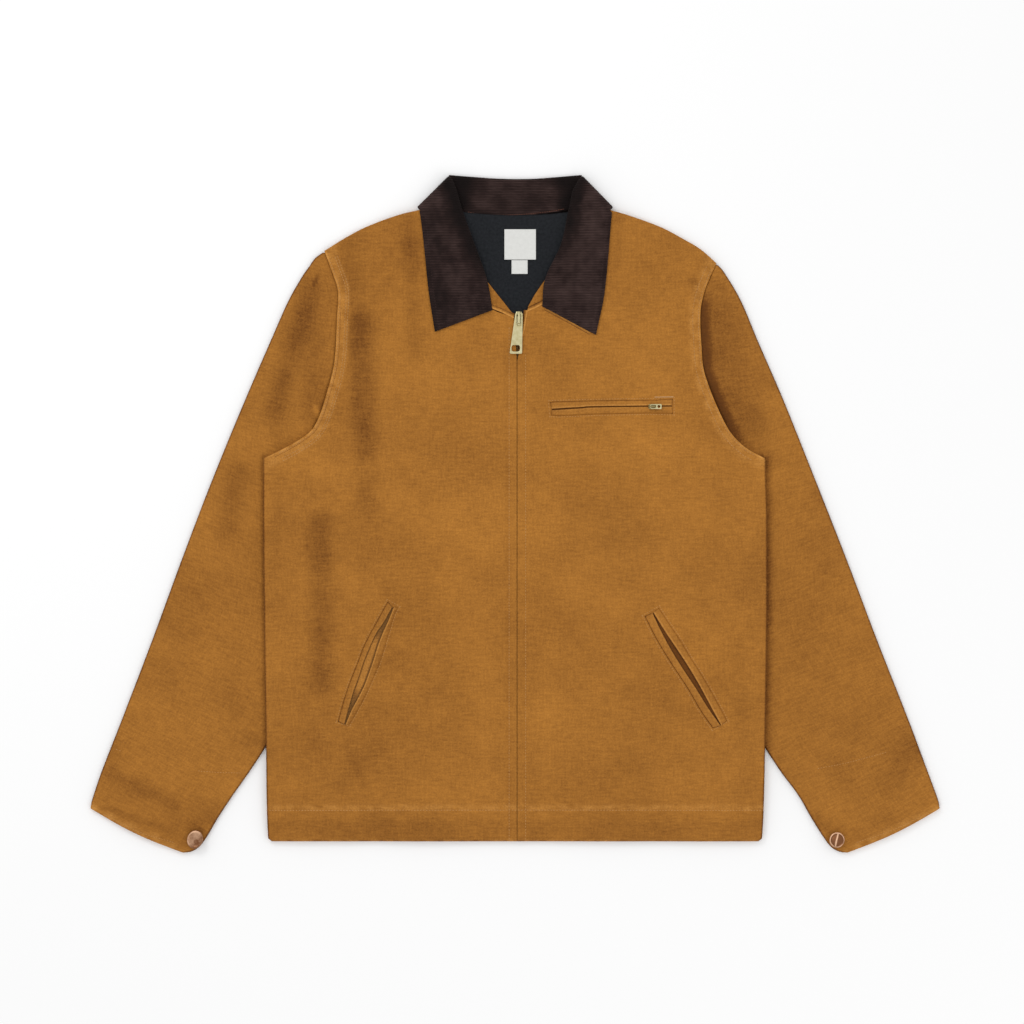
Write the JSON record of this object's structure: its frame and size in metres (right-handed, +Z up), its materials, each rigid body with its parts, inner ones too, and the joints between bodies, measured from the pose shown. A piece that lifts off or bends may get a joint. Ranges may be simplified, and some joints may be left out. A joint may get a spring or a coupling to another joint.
{
  "type": "hunting jacket",
  "caption": "Canvas field jacket with a corduroy collar, a zip front, welt pockets and buttoned cuffs, laid flat on its back.",
  "frame": {"origin": "bottom centre of the jacket's bounding box, on the surface that it lies on", "axes": "+X to the right as seen from above, +Y from the hem to the collar, +Z up out of the jacket's front"},
  "size_m": [0.954, 0.758, 0.0141],
  "materials": {
    "body_canvas": "cotton duck canvas, matt",
    "sleeve_canvas": "cotton duck canvas, matt",
    "collar_corduroy": "fine-wale corduroy, matt pile",
    "neck_lining": "smooth dark lining",
    "label_white": "woven label, bare",
    "zip_tape": "woven zip tape",
    "brass": "pale brass, lightly tumbled",
    "copper": "turned, copper coloured"
  },
  "bodies": {
    "jacket": {"back_panel": "body_canvas", "front_left": "body_canvas", "front_right": "body_canvas", "sleeve_left": "sleeve_canvas", "sleeve_right": "sleeve_canvas", "collar_leaf": "collar_corduroy", "collar_stand": "collar_corduroy", "neck_lining": "neck_lining", "neck_label": "label_white", "size_label": "label_white", "facing_left": "body_canvas", "facing_right": "body_canvas", "zip_tape_left": "zip_tape", "zip_tape_right": "zip_tape", "zip_slider": "brass", "chest_slider": "brass", "chest_pocket_welt_upper": "body_canvas", "chest_pocket_welt_lower": "body_canvas", "hand_pocket_left_welt_upper": "body_canvas", "hand_pocket_left_welt_lower": "body_canvas", "hand_pocket_right_welt_upper": "body_canvas", "hand_pocket_right_welt_lower": "body_canvas", "cuff_button_left": "copper", "cuff_button_right": "copper"},
    "zip_pull_tab": {"zip_pull": "brass"},
    "chest_pull_tab": {"chest_pull": "brass"}
  },
  "joints": [
    {"name": "zip_pull_hinge", "type": "hinge", "parent": "jacket", "child": "zip_pull_tab", "pos_m": [0.0042, 0.2242, 0.00837], "axis": [-1, 0, 0], "range_deg": [0, 150]},
    {"name": "chest_pull_hinge", "type": "hinge", "parent": "jacket", "child": "chest_pull_tab", "pos_m": [0.1515, 0.1202, 0.01205], "axis": [0, -1, 0], "range_deg": [0, 150]}
  ]
}
